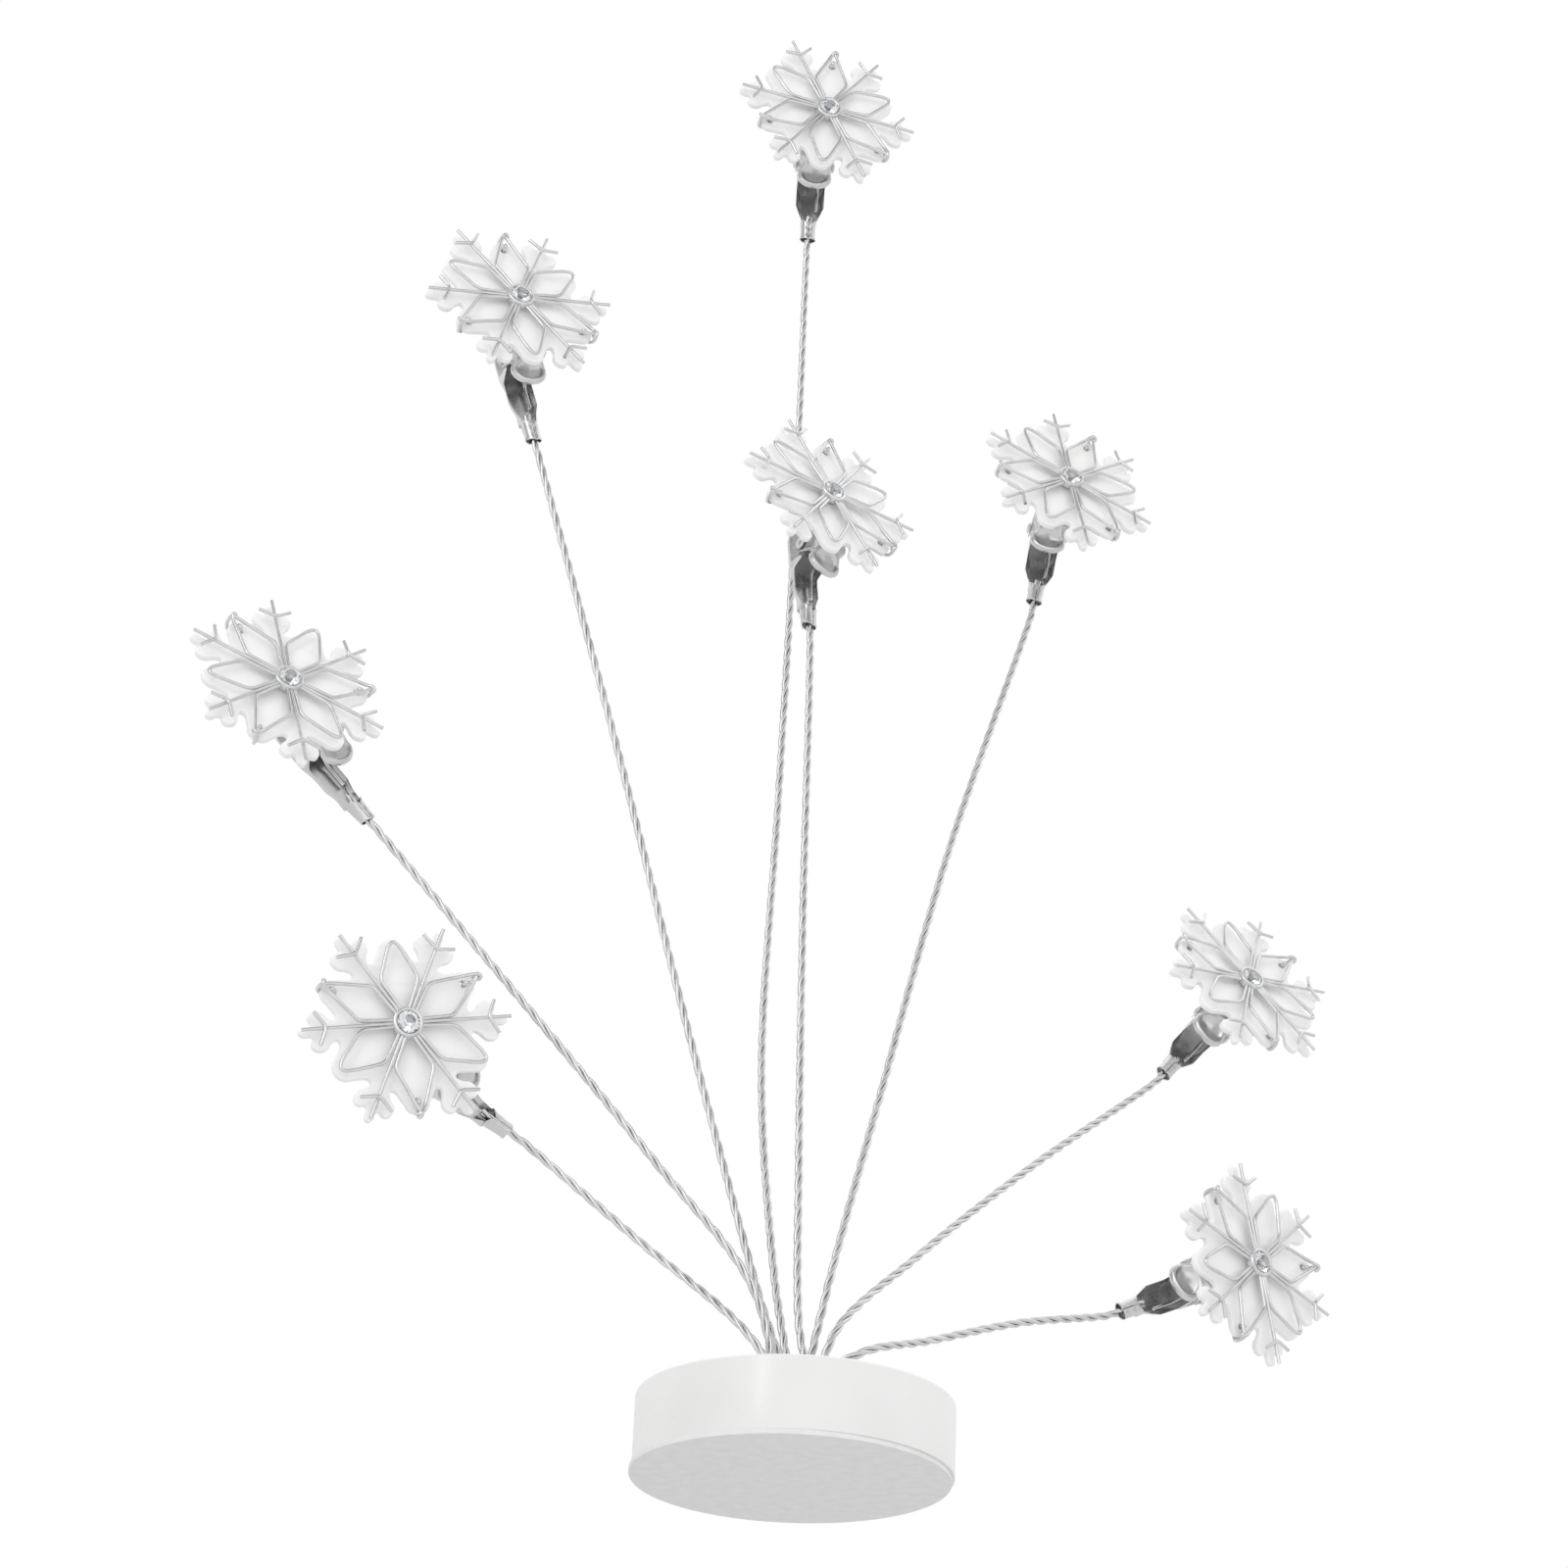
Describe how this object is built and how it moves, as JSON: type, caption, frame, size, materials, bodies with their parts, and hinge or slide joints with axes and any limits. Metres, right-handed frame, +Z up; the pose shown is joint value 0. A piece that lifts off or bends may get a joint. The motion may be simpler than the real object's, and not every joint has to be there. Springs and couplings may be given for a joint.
{
  "type": "memo clip holder",
  "caption": "Desk memo holder: a heavy round foot with a fan of twisted wire stems, each ending in a sprung crocodile clip that carries a wire snowflake.",
  "frame": {"origin": "centre of the foot, on the face that rests on the table", "axes": "+Z up, away from the table; -Y towards the side that the snowflakes face; +X to the right seen from there"},
  "size_m": [0.2428, 0.132, 0.3647],
  "materials": {
    "foot_paint": "satin",
    "pad": "matte",
    "stem_wire": "bright",
    "clip_plate": "bright",
    "spring_steel": "bright",
    "backing_sheet": "matte",
    "flake_wire": "bright"
  },
  "bodies": {
    "stand": {"base": "foot_paint", "base_pad": "pad", "stem_1": "stem_wire", "stem_2": "stem_wire", "stem_3": "stem_wire", "stem_4": "stem_wire", "stem_5": "stem_wire", "stem_6": "stem_wire", "stem_7": "stem_wire", "stem_8": "stem_wire", "lower_jaw_1": "clip_plate", "lower_jaw_2": "clip_plate", "lower_jaw_3": "clip_plate", "lower_jaw_4": "clip_plate", "lower_jaw_5": "clip_plate", "lower_jaw_6": "clip_plate", "lower_jaw_7": "clip_plate", "lower_jaw_8": "clip_plate", "pivot_pin_1": "clip_plate", "pivot_pin_2": "clip_plate", "pivot_pin_3": "clip_plate", "pivot_pin_4": "clip_plate", "pivot_pin_5": "clip_plate", "pivot_pin_6": "clip_plate", "pivot_pin_7": "clip_plate", "pivot_pin_8": "clip_plate", "spring_1": "spring_steel", "spring_2": "spring_steel", "spring_3": "spring_steel", "spring_4": "spring_steel", "spring_5": "spring_steel", "spring_6": "spring_steel", "spring_7": "spring_steel", "spring_8": "spring_steel"},
    "jaw_1": {"upper_jaw_1": "clip_plate", "snowflake_backing_1": "backing_sheet", "wire_snowflake_1": "flake_wire"},
    "jaw_2": {"upper_jaw_2": "clip_plate", "snowflake_backing_2": "backing_sheet", "wire_snowflake_2": "flake_wire"},
    "jaw_3": {"upper_jaw_3": "clip_plate", "snowflake_backing_3": "backing_sheet", "wire_snowflake_3": "flake_wire"},
    "jaw_4": {"upper_jaw_4": "clip_plate", "snowflake_backing_4": "backing_sheet", "wire_snowflake_4": "flake_wire"},
    "jaw_5": {"upper_jaw_5": "clip_plate", "snowflake_backing_5": "backing_sheet", "wire_snowflake_5": "flake_wire"},
    "jaw_6": {"upper_jaw_6": "clip_plate", "snowflake_backing_6": "backing_sheet", "wire_snowflake_6": "flake_wire"},
    "jaw_7": {"upper_jaw_7": "clip_plate", "snowflake_backing_7": "backing_sheet", "wire_snowflake_7": "flake_wire"},
    "jaw_8": {"upper_jaw_8": "clip_plate", "snowflake_backing_8": "backing_sheet", "wire_snowflake_8": "flake_wire"}
  },
  "joints": [
    {"name": "clip_1", "type": "hinge", "parent": "stand", "child": "jaw_1", "pos_m": [-0.07157, -0.00541, 0.07713], "axis": [0.3132, 0.3045, 0.8996], "range_deg": [0, 30], "stiffness_Nm_per_rad": 0.04, "springref_deg": -45.84, "deforming": ["spring_1"]},
    {"name": "clip_2", "type": "hinge", "parent": "stand", "child": "jaw_2", "pos_m": [-0.10148, -0.00388, 0.1468], "axis": [0.5564, 0.5236, 0.6452], "range_deg": [0, 30], "stiffness_Nm_per_rad": 0.04, "springref_deg": -45.84, "deforming": ["spring_2"]},
    {"name": "clip_3", "type": "hinge", "parent": "stand", "child": "jaw_3", "pos_m": [-0.06803, 0.01395, 0.24895], "axis": [0.8758, 0.4134, 0.2493], "range_deg": [0, 30], "stiffness_Nm_per_rad": 0.04, "springref_deg": -45.84, "deforming": ["spring_3"]},
    {"name": "clip_4", "type": "hinge", "parent": "stand", "child": "jaw_4", "pos_m": [-0.00602, 0.05998, 0.33417], "axis": [0.9923, 0.121, -0.0261], "range_deg": [0, 30], "stiffness_Nm_per_rad": 0.04, "springref_deg": -45.84, "deforming": ["spring_4"]},
    {"name": "clip_5", "type": "hinge", "parent": "stand", "child": "jaw_5", "pos_m": [-0.00226, 0.03645, 0.21693], "axis": [0.7699, 0.6301, -0.1011], "range_deg": [0, 30], "stiffness_Nm_per_rad": 0.04, "springref_deg": -45.84, "deforming": ["spring_5"]},
    {"name": "clip_6", "type": "hinge", "parent": "stand", "child": "jaw_6", "pos_m": [0.05124, 0.07631, 0.24669], "axis": [0.9783, 0.1146, -0.1728], "range_deg": [0, 30], "stiffness_Nm_per_rad": 0.04, "springref_deg": -45.84, "deforming": ["spring_6"]},
    {"name": "clip_7", "type": "hinge", "parent": "stand", "child": "jaw_7", "pos_m": [0.08942, 0.09002, 0.13188], "axis": [0.6932, 0.2797, -0.6643], "range_deg": [0, 30], "stiffness_Nm_per_rad": 0.04, "springref_deg": -45.84, "deforming": ["spring_7"]},
    {"name": "clip_8", "type": "hinge", "parent": "stand", "child": "jaw_8", "pos_m": [0.08151, 0.05736, 0.06126], "axis": [0.4768, 0.08, -0.8754], "range_deg": [0, 30], "stiffness_Nm_per_rad": 0.04, "springref_deg": -45.84, "deforming": ["spring_8"]}
  ]
}
